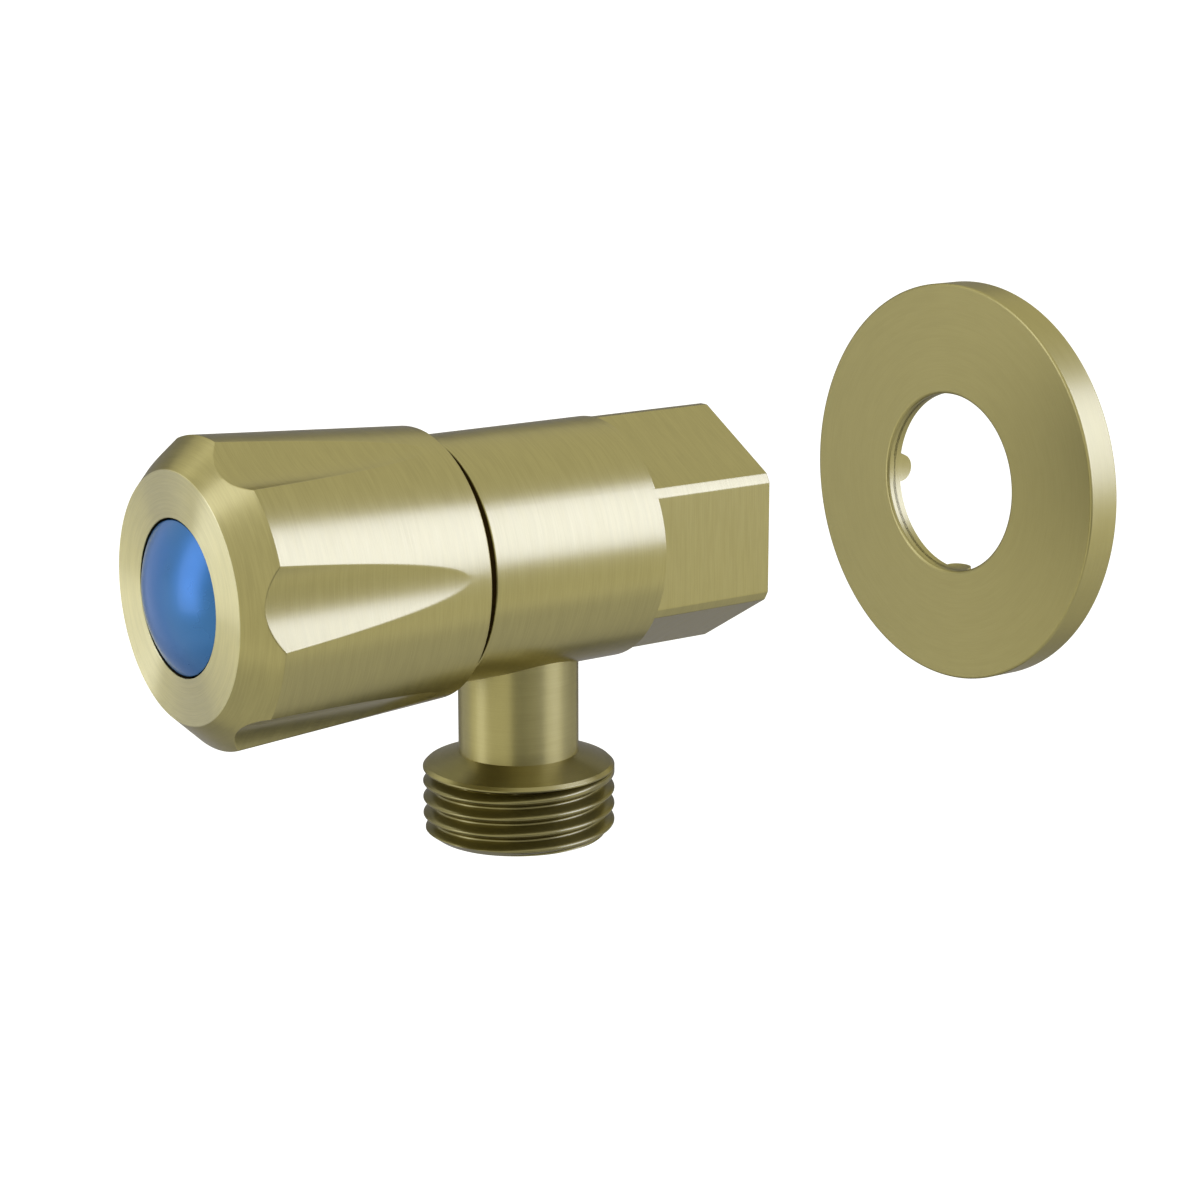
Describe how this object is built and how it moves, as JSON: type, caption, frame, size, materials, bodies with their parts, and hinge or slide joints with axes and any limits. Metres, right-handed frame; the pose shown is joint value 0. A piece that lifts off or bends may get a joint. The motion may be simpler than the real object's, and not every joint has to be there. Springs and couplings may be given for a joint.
{
  "type": "cistern tap",
  "caption": "Quarter-turn ceramic-disc angle valve for a cistern, with a fluted knob, blue button, hexagonal inlet end, threaded outlet spigot and a loose round cover plate.",
  "frame": {"origin": "centre of the inlet mouth, in the flat end face of the hexagonal end", "axes": "+Y runs along the tap's axis from the knob to the wall, -Z along the outlet spigot, +X to the right seen from the knob"},
  "size_m": [0.0476, 0.1095, 0.0555],
  "materials": {
    "brushed_brass": "fine brushed satin with an olive-gold tint",
    "turned_brass": "bare turned brass",
    "seal_rubber": "smooth black rubber",
    "white_nylon": "moulded white nylon",
    "disc_ceramic": "lapped white alumina",
    "stainless_steel": "plain stainless steel",
    "blue_button": "glossy moulded plastic dome"
  },
  "bodies": {
    "tap_body": {"valve_body": "brushed_brass", "cartridge_housing": "turned_brass", "housing_ring": "seal_rubber", "seat_seal": "seal_rubber", "seal_support_ring": "white_nylon", "fixed_disc": "disc_ceramic"},
    "turning_set": {"knob": "brushed_brass", "index_button": "blue_button", "knob_screw": "stainless_steel", "lock_washer": "stainless_steel", "spline_bush": "white_nylon", "spindle": "turned_brass", "lower_spindle_ring": "seal_rubber", "upper_spindle_ring": "seal_rubber", "slip_washer": "white_nylon", "stop_washer": "stainless_steel", "circlip": "stainless_steel", "moving_disc": "disc_ceramic"},
    "loose_plate": {"cover_plate": "brushed_brass"}
  },
  "joints": [
    {"name": "knob_turn", "type": "hinge", "parent": "tap_body", "child": "turning_set", "pos_m": [0, 0, 0], "axis": [0, -1, 0], "range_deg": [0, 90]},
    {"name": "plate_slide", "type": "slide", "parent": "tap_body", "child": "loose_plate", "axis": [0, -1, 0], "range_m": [0, 0.0368]}
  ]
}
